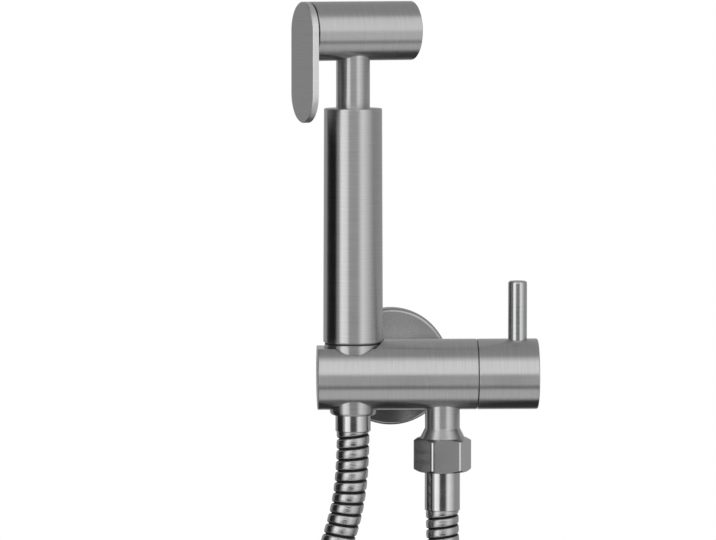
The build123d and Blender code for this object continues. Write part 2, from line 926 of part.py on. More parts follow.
handset_route = [
    (handset_x, -wall_gap, handset_ferrule_foot),
    (-18.0, -44.0, -46.0),
    (-24.2, -44.0, -72.0),
    (-37.6, -45.5, -105.0),
    (-58.0, -48.5, -138.0),
    (-78.0, -51.2, -172.0),
    (coil_left_x, coil_front_y, -202.0),
    (coil_left_x, coil_front_y, strand_foot),
]
supply_route = [
    (outlet_x, -wall_gap, supply_foot),
    (20.0, -44.0, -84.0),
    (26.0, -43.6, -111.0),
    (40.0, -41.0, -142.0),
    (57.5, -38.0, -171.5),
    (coil_right_x, coil_back_y, -202.0),
    (coil_right_x, coil_back_y, strand_foot),
]


def tube_radii(route):
    """Bend radius at each inner point: as large as the shorter of its two runs allows."""
    points = [Vector(*place) for place in route]
    radii = []
    for before, here, after in zip(points, points[1:], points[2:]):
        run_in = here - before
        run_out = after - here
        turn = radians(run_in.get_angle(run_out))
        radii.append(0.45 * min(run_in.length, run_out.length) / tan(turn / 2))
    return radii


def ribbed_hose(name, path):
    """A ribbed stretch of hose: a ruled loft through four circles a rib, bored through."""
    ribs = round(path.length / rib_pitch)
    print(name, "length", round(path.length, 1), "mm, ribs", ribs)
    # Each rib is a crown and the groove that follows it, as shares of the rib's length
    groove_r = hose_r - groove_depth
    stations = [(0.0, hose_r), (0.66, hose_r), (0.76, groove_r), (0.90, groove_r)]
    sections = [((rib + share) / ribs, radius) for rib in range(ribs) for share, radius in stations]
    sections.append((1.0, hose_r))
    with BuildPart() as hose:
        for place, radius in sections:
            with BuildSketch(Plane(origin=path @ place, x_dir=(0, 1, 0), z_dir=path % place)):
                Circle(radius)
        loft(ruled=True)
        with BuildLine():
            add(path)
        with BuildSketch(Plane(origin=path @ 0, x_dir=(0, 1, 0), z_dir=path % 0)):
            Circle(hose_bore_r)
        sweep(path=path, mode=Mode.SUBTRACT)
    finish(hose, name)


def strand_path(route):
    """The route's runs, joined by arcs as large as they allow."""
    with BuildLine() as line:
        FilletPolyline(*route, radius=tube_radii(route))
    return line.wires()[0]


handset_path = strand_path(handset_route)
supply_path = strand_path(supply_route)
with BuildLine() as turns:
    Line((coil_left_x, coil_front_y, strand_foot), (coil_left_x, coil_front_y, coil_z))
    ThreePointArc(
        (coil_left_x, coil_front_y, coil_z),
        (coil_x, coil_front_y, coil_z - coil_mid_r),
        (coil_right_x, coil_front_y, coil_z),
    )
    rise = sqrt(coil_mid_r**2 + coil_depth**2 / 4)
    ThreePointArc(
        (coil_right_x, coil_front_y, coil_z),
        (coil_x, -wall_gap, coil_z + rise),
        (coil_left_x, coil_back_y, coil_z),
    )
    ThreePointArc(
        (coil_left_x, coil_back_y, coil_z),
        (coil_x, coil_back_y, coil_z - coil_mid_r),
        (coil_right_x, coil_back_y, coil_z),
    )
    Line((coil_right_x, coil_back_y, coil_z), (coil_right_x, coil_back_y, strand_foot))
coil_path = turns.wires()[0]

ribbed_hose("hose_handset_strand", handset_path)
ribbed_hose("hose_supply_strand", supply_path)
ribbed_hose("hose_coil", coil_path)
print("bend radii of the strands", [round(radius) for radius in tube_radii(handset_route)],
      [round(radius) for radius in tube_radii(supply_route)], "and of the coil", coil_mid_r)

# The coil's least gap to itself, on points along it, leaving out near neighbours
steps = 300
spots = [coil_path @ (step / steps) for step in range(steps + 1)]
apart = int(steps * 60 / coil_path.length)
least = min(
    (spots[one] - spots[two]).length
    for one in range(steps + 1)
    for two in range(one + apart, steps + 1)
)
hose_length = handset_path.length + supply_path.length + coil_path.length
print("hose_coil, least gap to itself", round(least - 2 * hose_r, 2), "mm")
print("hose length in all", round(hose_length, 1), "mm")

# The tie, a strap round both turns at the coil's foot

with BuildPart() as hose_tie:
    tie_plane = Plane(origin=(coil_x, -wall_gap, coil_z - coil_mid_r), x_dir=(0, 1, 0), z_dir=(1, 0, 0))
    inner_height = 2 * (hose_r + tie_play)
    with BuildSketch(tie_plane):
        SlotCenterToCenter(coil_depth, inner_height + 2 * tie_thickness)
        SlotCenterToCenter(coil_depth, inner_height, mode=Mode.SUBTRACT)
    extrude(amount=tie_width / 2, both=True)
finish(hose_tie, "hose_tie")
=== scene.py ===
# %% [markdown]
# # A bidet shower set in brushed steel
#
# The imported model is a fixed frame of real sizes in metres. This lesson dresses it: the
# pieces that show get a turned, cut or wound mesh, every surface gets a procedural metal,
# rubber, ceramic or plastic, and a small product studio is set up round the whole.

# %% Load the frame
import json

from math import cos, hypot, pi, radians, sin, tan

import bpy
from mathutils import Matrix, Vector

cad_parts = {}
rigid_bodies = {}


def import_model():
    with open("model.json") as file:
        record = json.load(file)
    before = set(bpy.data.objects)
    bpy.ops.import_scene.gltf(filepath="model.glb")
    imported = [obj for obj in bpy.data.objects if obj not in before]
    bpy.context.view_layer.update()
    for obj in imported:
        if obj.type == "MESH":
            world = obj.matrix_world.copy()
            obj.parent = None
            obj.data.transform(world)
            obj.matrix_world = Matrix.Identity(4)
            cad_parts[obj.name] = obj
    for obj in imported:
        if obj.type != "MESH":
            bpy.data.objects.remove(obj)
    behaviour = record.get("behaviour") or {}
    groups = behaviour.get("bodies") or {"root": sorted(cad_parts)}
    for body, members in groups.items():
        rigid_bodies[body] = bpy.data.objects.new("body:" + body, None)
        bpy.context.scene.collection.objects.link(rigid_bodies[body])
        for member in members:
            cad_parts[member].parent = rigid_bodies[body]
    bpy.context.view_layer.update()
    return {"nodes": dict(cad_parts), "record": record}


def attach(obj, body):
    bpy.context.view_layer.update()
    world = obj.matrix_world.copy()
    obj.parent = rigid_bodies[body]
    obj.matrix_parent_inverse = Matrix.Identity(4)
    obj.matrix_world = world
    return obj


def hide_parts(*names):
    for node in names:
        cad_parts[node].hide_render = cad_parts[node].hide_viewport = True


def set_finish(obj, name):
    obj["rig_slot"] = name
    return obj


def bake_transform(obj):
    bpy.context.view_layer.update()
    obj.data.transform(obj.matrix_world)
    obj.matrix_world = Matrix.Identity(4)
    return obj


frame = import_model()
mm = 0.001

# %% [markdown]
# ## The camera
#
# The photograph has almost no perspective: a vertical tube shows the same width at its top
# and its foot. An orthographic camera would show none at all, so a long lens from about two
# metres is nearer to it. The camera stands a little to the left of the valve and above it,
# and looks at the middle of the picture.

# %% Camera
photo_width = 716
pixels_per_mm = 2.36
focal_pixels = 5000.0
wall_gap = 44.0
look_at = Vector((-15.9, -wall_gap, 44.4)) * mm
yaw, pitch = radians(2.5), radians(4.0)

camera_data = bpy.data.cameras.new("photo_camera")
camera_data.sensor_width = 36.0
camera_data.lens = focal_pixels * camera_data.sensor_width / photo_width
camera_data.clip_start, camera_data.clip_end = 0.05, 50.0
camera = bpy.data.objects.new("photo_camera", camera_data)
camera_back = Vector((-sin(yaw) * cos(pitch), -cos(yaw) * cos(pitch), sin(pitch)))
camera.location = look_at + camera_back * focal_pixels / pixels_per_mm * mm
camera.rotation_euler = (-camera_back).to_track_quat("-Z", "Y").to_euler()
bpy.context.collection.objects.link(camera)
bpy.context.scene.camera = camera
print("lens, mm:", round(camera_data.lens, 1), "distance, m:", round((camera.location - look_at).length, 2))

# %% [markdown]
# ## The hose's line
#
# A metal hose is a fixed length of something stiff. It leaves both ferrules straight down,
# bends out to the two sides and carries its spare length in one and a half tied turns. A
# Bezier curve would need two handles at each point. A NURBS curve takes the solid hose's own
# points as they are and rounds them off, so its control points are the route, and the coil's
# turns are more points of the same curve, set a little outside the circle that they make.

# %% Hose route
hose_r = 7.0
holder_x, outlet_x = -18.0, 20.0
supply_end, handset_end = -58.1, -24.2
supply_foot = Vector((outlet_x, -wall_gap, supply_end))
handset_foot = Vector((holder_x, -wall_gap, handset_end))
supply_route = [
    supply_foot, (20.0, -44.0, -84.0), (26.0, -43.6, -111.0), (40.0, -41.0, -142.0),
    (57.5, -38.0, -171.5), (69.0, -36.0, -202.0), (69.0, -36.0, -231.0),
]
handset_route = [
    handset_foot, (-18.0, -44.0, -46.0), (-24.2, -44.0, -72.0), (-37.6, -45.5, -105.0),
    (-58.0, -48.5, -138.0), (-78.0, -51.2, -172.0), (-85.0, -52.0, -202.0), (-85.0, -52.0, -231.0),
]
coil_x, coil_z, coil_r = -8.0, -245.0, 77.0
coil_back_y, coil_front_y = -36.0, -52.0
coil_turns, points_per_turn = 1.5, 16
print("route:", len(supply_route), "points at the valve and", len(handset_route), "at the handset")


# %% Points of the coil
def smooth(share):
    """0 to 1 with soft ends."""
    share = min(max(share, 0.0), 1.0)
    return share * share * (3 - 2 * share)


def coil_points():
    """Control points of the coil's turns, from the right side down and round."""
    step = 2 * pi / points_per_turn
    out_r = coil_r / cos(step / 2)
    points = []
    for k in range(round(coil_turns * points_per_turn)):
        turned_by = (k + 0.5) * step
        # The second half turn comes forward, by a hose's width and a small gap
        y = coil_back_y + (coil_front_y - coil_back_y) * smooth((turned_by - pi) / pi)
        points.append((coil_x + out_r * cos(turned_by), y, coil_z - out_r * sin(turned_by)))
    return points


coil = coil_points()
print("coil:", len(coil), "points,", 2 * (coil_r + hose_r), "mm across")


# %% The curve through the route
def nurbs_line(name, points):
    """The points, in metres, of a NURBS curve of order 3 with these control points, in mm."""
    data = bpy.data.curves.new(name, "CURVE")
    data.dimensions = "3D"
    data.resolution_u = 16
    spline = data.splines.new("NURBS")
    spline.points.add(len(points) - 1)
    for point, place in zip(spline.points, points):
        point.co = (*(Vector(place) * mm), 1.0)
    spline.order_u = 3
    spline.use_endpoint_u = True
    curve = bpy.data.objects.new(name, data)
    mesh = bpy.data.meshes.new_from_object(curve)
    line = [vertex.co.copy() for vertex in mesh.vertices]
    bpy.data.objects.remove(curve)
    return line


hose_line = nurbs_line("hose_route", supply_route + coil + handset_route[::-1])
print("hose line:", len(hose_line), "points")

# %% [markdown]
# ## Reading a line
#
# Ribs and threads are set out along a line by length, in even steps that the curve's own
# points don't have. So a small class reads the line at any length, and carries a frame of
# two side ways along it without twist. A frame that is worked out afresh at each point
# could flip over where the line bends the other way.


# %% A line that can be read
class Line:
    """A line of points that can be read at any length, with a frame carried along it."""

    def __init__(self, points):
        self.points = points
        self.lengths = [0.0]
        self.frames = []
        side = Vector((1, 0, 0))
        for k, here in enumerate(points):
            ahead = (points[min(k + 1, len(points) - 1)] - points[max(k - 1, 0)]).normalized()
            side = (side - ahead * side.dot(ahead)).normalized()
            self.frames.append((side.copy(), ahead.cross(side)))
            if k:
                self.lengths.append(self.lengths[-1] + (here - points[k - 1]).length)
        self.length = self.lengths[-1]
        self.at = 0

    def read(self, run):
        """Centre and frame at a length; the line runs on straight past its ends."""
        while self.at < len(self.points) - 2 and self.lengths[self.at + 1] < run:
            self.at += 1
        while self.at > 0 and self.lengths[self.at] > run:
            self.at -= 1
        k = self.at
        share = (run - self.lengths[k]) / (self.lengths[k + 1] - self.lengths[k])
        centre = self.points[k].lerp(self.points[k + 1], share)
        hold = min(max(share, 0.0), 1.0)
        side, up = (a.lerp(b, hold).normalized() for a, b in zip(self.frames[k], self.frames[k + 1]))
        return centre, side, up


hose = Line(hose_line)
print("hose:", round(hose.length, 4), "m between its ferrules")

# %% [markdown]
# ## The hose's ribs
#
# The real hose is a steel strip wound into a tube, so its seam is one long right-hand
# helix. An Array modifier along a curve could repeat one rib, but its ring closes on itself,
# and the hose would be a row of plain rings. Here each row of the mesh climbs by one rib in a
# full turn and joins the row one rib on, so the seam winds as the strip does. Each vertex
# also keeps how deep it lies in the groove and how far along the hose it is, for the finish.


# %% Wound tubes
def mesh_object(name, vertices, faces):
    """A new object from vertices and faces."""
    mesh = bpy.data.meshes.new(name)
    mesh.from_pydata(vertices, [], faces)
    mesh.validate()
    mesh.update()
    piece = bpy.data.objects.new(name, mesh)
    bpy.context.collection.objects.link(piece)
    return piece


def tell(*pieces):
    """Print how many faces each piece has."""
    print(", ".join(f"{piece.name}: {len(piece.data.polygons)} faces" for piece in pieces))


def wound_tube(name, line, start, end, pitch, profile, around, limit=None):
    """A tube with helical ribs along a stretch of a line; profile is (share of a rib, radius) rows."""
    rows_per_rib = len(profile)
    last = round((end - start) / pitch * rows_per_rib)
    low, high = (pick(radius for _, radius in profile) for pick in (min, max))
    vertices, faces, depths, runs = [], [], [], []
    for row in range(last + 1):
        share, rib_radius = profile[row % rows_per_rib]
        for k in range(around):
            angle = 2 * pi * k / around
            depths.append((high - rib_radius) / (high - low))
            run = start + (row // rows_per_rib + share + k / around) * pitch
            runs.append(run)
            centre, side, up = line.read(run)
            radius = rib_radius
            if limit:
                radius = min(radius, limit(run))
            vertices.append(centre + (side * cos(angle) + up * sin(angle)) * radius)
    for row in range(last):
        for k in range(around):
            here, beside = row * around + k, row * around + k + 1
            if k == around - 1:
                # The last column meets the first one a whole rib on
                beside = (row + rows_per_rib) * around
            if beside + around < len(vertices):
                faces.append((here, here + around, beside + around, beside))
    piece = mesh_object(name, vertices, faces)
    piece.data.shade_smooth()
    piece.data.attributes.new("depth", "FLOAT", "POINT").data.foreach_set("value", depths)
    piece.data.attributes.new("run", "FLOAT", "POINT").data.foreach_set("value", runs)
    return piece


# %% [markdown]
# ## Winding the hose
#
# The strand to the handset is pulled a little, so its ribs stand further apart than the rest
# of the hose. The photograph shows where the first seam lies under each ferrule, and the
# ribs are counted from there. A rib's crown is nearly flat and its groove is narrow, as a
# folded strip's is.

# %% Wind the hose
first_seam = 1.6 * mm
last_seam = hose.length - 3.05 * mm
riser_ribs, riser_pitch = 45, 4.75 * mm
hose_split = last_seam - riser_ribs * riser_pitch
slack_pitch = 4.2 * mm
rib_pitch = (hose_split - first_seam) / round((hose_split - first_seam) / slack_pitch)
groove = 1.15
rib_depths = [(0.0, 1.0), (0.045, 0.85), (0.09, 0.42), (0.15, 0.17), (0.26, 0.04), (0.5, 0.0)]
rib_depths += [(1 - share, depth) for share, depth in rib_depths[4:0:-1]]
rib_profile = [(share, (hose_r - groove * depth) * mm) for share, depth in rib_depths]
# Both ends run on into their ferrules, so that the slanting first row is never seen
hose_start = first_seam - 2 * rib_pitch
hose_end = last_seam + 0.6 * riser_pitch
hose_sides = 36
hose_body = wound_tube("hose_coiled", hose, hose_start, hose_split, rib_pitch, rib_profile, hose_sides)
hose_riser = wound_tube("hose_riser", hose, hose_split, hose_end, riser_pitch, rib_profile, hose_sides)
tell(hose_body, hose_riser)

# %% [markdown]
# ## What the hose does
#
# Both meshes stand in for the hose's solids, which are hidden. The coil rides with the valve.
# The strand above it stays where it is drawn. The centreline points of both stretches are worked
# out, but nothing uses them.


def stretch(start, end, spacing=2 * mm):
    """Centreline points of a stretch of the hose."""
    count = round((end - start) / spacing)
    return [hose.read(start + (end - start) * k / count)[0] for k in range(count + 1)]


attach(hose_body, "root")
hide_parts("hose_supply_strand", "hose_coil")
stretch(0.0, hose_split)
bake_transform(hose_riser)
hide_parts("hose_handset_strand")
stretch(hose_split, hose.length)
for piece in (hose_body, hose_riser):
    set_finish(piece, "hose_steel")
print("coil and riser, m:", round(hose_split, 3), round(hose.length - hose_split, 3))

# %% [markdown]
# ## Turned pieces
#
# Nearly every metal part here is turned on a lathe or drawn as a tube, so it is a profile
# spun round an axis. Blender's Screw modifier could spin it, but a real edge is broken by a
# small radius, and the shading has to stay exact up to that radius. So the profile is given
# as corners in mm, (radius, height) or (radius, height, rounding), and each corner of each
# face gets the profile's own normal. The object's local Z is its own axis, because the
# brushing runs round that axis.


# %% A profile with rounded corners
def rounded(corners, arc_steps=5):
    """Runs of a closed profile of corners: start, its normal, end, its normal."""
    turned_area = sum(
        a[0] * b[1] - b[0] * a[1] for a, b in zip(corners, corners[1:] + corners[:1])
    )
    if turned_area < 0:
        corners = corners[::-1]
    points = []
    for k, corner in enumerate(corners):
        here = Vector(corner[:2])
        rounding = corner[2] if len(corner) > 2 else 0
        if not rounding:
            points.append((here, None))
            continue
        before = (Vector(corners[k - 1][:2]) - here).normalized()
        after = (Vector(corners[(k + 1) % len(corners)][:2]) - here).normalized()
        half = before.angle(after) / 2
        middle = here + (before + after).normalized() * rounding / sin(half)
        first = here + before * rounding / tan(half)
        last = here + after * rounding / tan(half)
        for step in range(arc_steps + 1):
            spoke = (first.lerp(last, step / arc_steps) - middle).normalized()
            points.append((middle + spoke * rounding, middle))
    runs = []
    for (start, one), (end, other) in zip(points, points[1:] + points[:1]):
        way = (end - start).normalized()
        out = Vector((way.y, -way.x))
        if one is not None and one is other:
            sign = 1 if (start - one).dot(out) > 0 else -1
            runs.append((start, (start - one).normalized() * sign, end, (end - one).normalized() * sign))
        else:
            runs.append((start, out, end, out))
    return runs


# %% Spin it round local Z
on_axis = 1e-6


def turned(name, place, corners, around=144):
    """A lathe-turned piece; place says where its axis is, and the corners are in mm."""
    vertices, faces, normals, rings = [], [], [], {}

    def ring(point):
        """The vertices of the circle that a profile point makes; on the axis it is one vertex."""
        key = (round(point.x, 5), round(point.y, 5))
        if key not in rings:
            count = 1 if point.x < on_axis else around
            rings[key] = range(len(vertices), len(vertices) + count)
            for k in range(count):
                angle = 2 * pi * k / around
                vertices.append(Vector((point.x * cos(angle), point.x * sin(angle), point.y)) * mm)
        return rings[key]

    for start, out_start, end, out_end in rounded(corners):
        low, high = ring(start), ring(end)
        if len(low) == 1 and len(high) == 1:
            continue
        for k in range(around):
            spots = [
                (low, k, out_start), (low, k + 1, out_start), (high, k + 1, out_end), (high, k, out_end),
            ]
            if len(low) == 1:
                spots.pop(0)
            if len(high) == 1:
                spots.pop()
            faces.append([row[at % len(row)] for row, at, _ in spots])
            for _, at, out in spots:
                angle = 2 * pi * at / around
                normals.append((out.x * cos(angle), out.x * sin(angle), out.y))
    piece = mesh_object(name, vertices, faces)
    piece.matrix_world = place
    piece.data.shade_smooth()
    piece.data.normals_split_custom_set(normals)
    return piece


# %% Places in the set
def facing(origin, forward, side):
    """A place in the set, in mm: local Z along forward, local X along side."""
    z = Vector(forward).normalized()
    x = Vector(side).normalized()
    return Matrix.Translation(Vector(origin) * mm) @ Matrix((x, z.cross(x), z)).transposed().to_4x4()


def standing(x, y=-wall_gap, z=0.0):
    """An upright place in the set, in mm: local Z up, local X to the right."""
    return facing((x, y, z), (0, 0, 1), (1, 0, 0))


def stands_for(piece, body, slot, *nodes):
    """Ride on a body, hide the CAD nodes that the piece replaces, and name its finish."""
    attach(piece, body)
    if nodes:
        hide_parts(*nodes)
    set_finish(piece, slot)
    return piece


head_turn = radians(20.0)
handset_at = Vector((holder_x, -wall_gap, 0.0))
head_way = Vector((cos(head_turn), sin(head_turn), 0))
head_side = Vector((-sin(head_turn), cos(head_turn), 0))
upright = facing(handset_at, (0, 0, 1), head_way)
print("the handset's axis stands at", tuple(handset_at), "mm")

# %% [markdown]
# ## The handset
#
# A slim grip with a slight taper, a thinner neck, and a cross-wise head that is turned a
# little away from the camera. The cone at the foot docks in the valve's holder. Each is one
# tube with its real bore, so it also looks right where the handset is lifted out.

# %% Grip and neck
grip_foot, grip_top = 13.6, 113.0
neck_r, neck_bore = 7.15, 5.0
grip = turned("grip_sleeve_turned", upright, [
    (10.3, grip_foot), (12.65, grip_foot, 0.9), (12.3, grip_top, 0.6), (neck_r, grip_top), (neck_r, 110.0),
    (9.5, 110.0), (9.5, 26.0), (10.3, 26.0),
])
stands_for(grip, "handset", "brushed_steel", "grip_sleeve")

neck = turned("neck_tube_turned", upright, [
    (neck_bore, 107.0), (9.3, 107.0), (9.3, 110.0), (neck_r, 110.0), (neck_r, 135.3), (neck_bore, 135.3),
])
stands_for(neck, "handset", "brushed_steel", "neck_tube")
tell(grip, neck)

# %% Cone and head
cone_foot, cone_top = -17.2, 13.0
cone = turned("cone_nut_turned", upright, [
    (7.8, cone_foot, 0.1), (9.7, cone_foot, 1.5), (12.15, cone_top, 0.2), (10.3, cone_top), (10.3, 3.5),
    (8.6, 3.5), (8.6, -0.5), (5.55, -0.5), (5.55, -3.5), (7.8, -3.5),
])
stands_for(cone, "handset", "brushed_steel", "cone_nut")

head_z, head_r, head_bore = 145.6, 12.5, 10.9
head_back, head_front = -19.9, 26.9
across_head = facing(handset_at + Vector((0, 0, head_z)), head_way, head_side)
head = turned("head_shell_turned", across_head, [
    (head_bore, head_back, 0.2), (head_r, head_back, 0.45), (head_r, head_front, 0.5),
    (head_bore, head_front, 0.2), (head_bore, 10.0), (10.2, 10.0), (10.2, -8.5), (3.4, -8.5),
    (3.4, -11.5), (head_bore, -11.5),
])
stands_for(head, "handset", "brushed_steel", "head_shell")
tell(cone, head)

# %% [markdown]
# ## Return spring
#
# Inside the head, a wound wire spring holds the poppet shut. One end leans on a wall of the head
# and the other on the poppet, which the thumb plate pulls back, so the spring has to get shorter.
# A Screw modifier could wind it, but a loop that carries a ring of points round a helix closes
# the wire's two ends as well.

# %% Wire of the spring
spring_turns, spring_r, wire_r = 5, 3.3, 0.5
spring_back, spring_front = -8.5, 6.25
wire_sides, steps_per_turn = 8, 24
spring_steps = spring_turns * steps_per_turn
rise = (spring_front - spring_back - 2 * wire_r) / spring_steps
vertices, faces = [], []
for step in range(spring_steps + 1):
    angle = 2 * pi * step / steps_per_turn
    for k in range(wire_sides):
        side = 2 * pi * k / wire_sides
        reach = spring_r + wire_r * cos(side)
        height = spring_back + wire_r + rise * step + wire_r * sin(side)
        vertices.append(across_head @ (Vector((reach * cos(angle), reach * sin(angle), height)) * mm))
for step in range(spring_steps):
    for k in range(wire_sides):
        here = step * wire_sides + k
        beside = step * wire_sides + (k + 1) % wire_sides
        faces.append((here, here + wire_sides, beside + wire_sides, beside))
# The wire's two cut ends
faces.append(tuple(range(wire_sides)))
faces.append(tuple(reversed(range(len(vertices) - wire_sides, len(vertices)))))
print("spring wire:", len(faces), "faces")

# %% Return spring
spring = mesh_object("return_spring_wound", vertices, faces)
spring.data.shade_smooth()
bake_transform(spring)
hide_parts("return_spring")
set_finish(spring, "steel_parts")
print("spring:", spring_turns, "turns over", spring_front - spring_back, "mm")

# %% [markdown]
# ## Cutting
#
# Holes and flats could be drawn into a mesh face by face, but the curve where a hole meets a
# round bar is hard to draw. They are cut from a turned piece with Boolean modifiers, as a
# mill does it. A Boolean loses the exact normals, so they are set again afterwards: straight
# out from the axis on a round barrel, and square to the face on each large flat one. The rest
# is shaded smooth between its sharp edges.


# %% Cutting
def cut(piece, tool, operation="DIFFERENCE"):
    """Cut a piece with another one, at once, and throw the tool away."""
    modifier = piece.modifiers.new("cut", "BOOLEAN")
    modifier.operation = operation
    modifier.object = tool
    modifier.solver = "EXACT"
    bpy.context.view_layer.update()
    shaped = bpy.data.meshes.new_from_object(piece.evaluated_get(bpy.context.evaluated_depsgraph_get()))
    piece.modifiers.clear()
    piece.data = shaped
    bpy.data.objects.remove(tool)


def prism(name, place, outline, low, high):
    """An upright block with a flat outline of (x, y) points, in mm."""
    count = len(outline)
    vertices = [Vector((*point, height)) * mm for height in (low, high) for point in outline]
    faces = [tuple(range(count))[::-1], tuple(range(count, 2 * count))]
    for k in range(count):
        after = (k + 1) % count
        faces.append((k, after, count + after, count + k))
    piece = mesh_object(name, vertices, faces)
    piece.matrix_world = place
    return piece


# %% Exact normals after a cut
edge_angle = radians(30)
barrel_play = 0.01 * mm
level_enough, upright_enough = 0.9999, 0.05


def true_faces(piece, barrel_r=0.0, flat_area=30 * mm**2):
    """Smooth shading with crisp edges, exact on large flat faces and on a barrel of that radius."""
    mesh = piece.data
    mesh.shade_smooth()
    mesh.set_sharp_from_angle(angle=edge_angle)
    normals = [corner.vector.copy() for corner in mesh.corner_normals]
    for face in mesh.polygons:
        places = [mesh.vertices[k].co for k in face.vertices]
        on_barrel = all(abs(hypot(at.x, at.y) - barrel_r) < barrel_play for at in places)
        for corner, at in zip(face.loop_indices, places):
            if on_barrel and abs(face.normal.z) < upright_enough:
                normals[corner] = Vector((at.x, at.y, 0)).normalized()
            elif abs(face.normal.z) > level_enough or not on_barrel and face.area > flat_area:
                normals[corner] = face.normal.copy()
    mesh.normals_split_custom_set(normals)


# %% [markdown]
# ## The valve
#
# The valve is a solid bar with a tapered hole for the cone, and a flat seat milled into its
# top, open to the left. One profile can't hold the hole and the seat, because neither runs
# round the bar's axis. So the bar is turned first, and both are cut from it.

# %% Valve bar
body_r = 15.0
bar_left, bar_right = -33.14, 34.5
body_sides = 192
along_bar = facing((0, -wall_gap, 0), (1, 0, 0), (0, 1, 0))
bar = turned("valve_body_turned", along_bar, [
    (0, bar_left), (body_r, bar_left, 0.4), (body_r, bar_right, 0.35), (10.5, bar_right), (10.5, 10.5),
    (4.5, 10.5), (4.5, 0), (0, 0),
], around=body_sides)
cut(bar, turned("holder_hole", upright, [(0, -17), (10.02, -17), (12.69, 16), (0, 16)]))

seat_r, seat_z = 13.15, 11.6
past_left, past_top = -30, 20
seat = [(seat_r * cos(radians(a)), seat_r * sin(radians(a))) for a in range(-90, 91, 5)]
seat += [(past_left, seat_r), (past_left, -seat_r)]
cut(bar, prism("seat_cut", standing(holder_x), seat, seat_z, past_top))
true_faces(bar, body_r * mm)
stands_for(bar, "root", "brushed_steel", "valve_body")
tell(bar)

# %% [markdown]
# ## The handle
#
# A cap of the bar's own size closes the right end and turns with its lever, a plain pin with
# a softened top. A dark line round one long bar would look much the same in the picture, but
# the cap has to turn, so it is a piece of its own and the gap is a real one. A set screw
# holds the cap on the spindle; its small hole is underneath.

# %% Cap and lever
cap_left, cap_right = 34.8, 60.5
screw_x, lever_x = 43.0, 51.9
cap = turned("handle_cap_turned", along_bar, [
    (11.5, cap_left), (body_r, cap_left, 0.35), (body_r, cap_right, 0.7), (0, cap_right), (0, 46.8),
    (4, 46.8), (4, 39.8), (11.5, 39.8),
], around=body_sides)
screw_hole = [(0, -17), (2.05, -17), (2.05, -6), (0, -6)]
cut(cap, turned("screw_hole", standing(screw_x), screw_hole, around=48))
true_faces(cap, body_r * mm)
stands_for(cap, "handle", "brushed_steel", "handle_cap")

lever_r, lever_foot, lever_top = 4.0, 9.0, 39.6
lever = turned("lever_pin_turned", standing(lever_x), [
    (0, lever_foot), (lever_r, lever_foot), (lever_r, lever_top, 1.0), (0, lever_top),
], around=96)
stands_for(lever, "handle", "brushed_steel", "lever_pin")
tell(cap, lever)

# %% [markdown]
# ## Wall flange and inlet
#
# The flange is a thin pressed dish that slides on the inlet and hides the hole in the wall. A
# flat face would mirror one tone all over. The photograph shows it light above the valve and
# dark below, as a slightly domed plate is, so the face falls by 0.8 mm from the hub to the
# rim. The inlet is a plain tube with a shoulder, and its thread follows in the next step.

# %% Flange and inlet core
off_wall = facing((0, 0, 0), (0, -1, 0), (1, 0, 0))
flange_r, flange_hub, flange_rim = 25.3, 8.0, 7.2
flange = turned("wall_flange_turned", off_wall, [
    (10.78, 0), (13.58, 0), (13.58, 6.4), (22.8, 6.4, 1.0), (23.7, 1.8), (23.7, 0), (flange_r, 0, 0.2),
    (flange_r, flange_rim, 1.6), (10.78, flange_hub, 0.3),
])
stands_for(flange, "flange", "brushed_steel", "wall_flange")

thread_root = 9.35
spigot = turned("inlet_spigot_turned", off_wall, [
    (4.5, -9), (8, -9), (8, -14, 0.2), (thread_root, -14, 0.3), (thread_root, 0), (10.3, 0, 0.3),
    (10.3, 22), (9.5, 22), (9.5, 33), (7.5, 33), (7.5, 36), (4.5, 36),
])
stands_for(spigot, "root", "steel_parts", "inlet_spigot")
tell(flange, spigot)

# %% [markdown]
# ## Inlet thread
#
# The inlet ends in a half-inch pipe thread. A bump in its finish could draw the crests, but
# the outline would stay smooth. They are one V-shaped helix, so the helper that winds the
# hose winds them too, on a core of the thread's root size. Near both ends the crests sink
# into the core, as a die leaves them.

# %% Inlet thread
thread_pitch = 1.814 * mm
thread_back, thread_length = 14, 15
thread_line = Line([Vector((0, thread_back - step, 0)) * mm for step in range(thread_length + 1)])
crest_height = 1.13
crest = (0, 0.3, 0.7, 0.97, 1, 0.97, 0.7, 0.3)
thread_profile = [
    (k / len(crest), (thread_root + crest_height * height) * mm) for k, height in enumerate(crest)
]
thread_sides = 64
run_in, run_out = 1.1, 1.5
sunk, crests_end = 0.3 * mm, 14.2 * mm


def thread_end(run):
    """Radius that the crests keep under near the thread's two ends."""
    return min(thread_root * mm + run_in * run - sunk, thread_root * mm + run_out * (crests_end - run))


thread = wound_tube(
    "inlet_thread", thread_line, 0.0, thread_line.length, thread_pitch, thread_profile, thread_sides,
    thread_end,
)
stands_for(thread, "root", "steel_parts", "inlet_spigot")
tell(thread)

# %% [markdown]
# ## Outlet, hose nut and ferrules
#
# The outlet widens into the nut's thread. The nut is a hexagon bar with softly broken edges,
# and turning it off at 30 degrees leaves the curved shoulders of every bought nut. A Bevel
# modifier can't make those curves. So the nut is a hexagon and a turned blank, and the
# Boolean keeps what both share. The hose ends in two plain crimped ferrules.

# %% Outlet and ferrules
below_bar = standing(outlet_x)
outlet = turned("outlet_nipple_turned", below_bar, [
    (4.5, -11.9), (7.4, -11.9), (7.4, -22.9, 0.8), (9.5, -27.0, 0.3), (9.5, -34.0), (4.5, -34.0),
])
stands_for(outlet, "root", "brushed_steel", "outlet_nipple")

ferrule_r, ferrule_bore = 7.5, 5.55


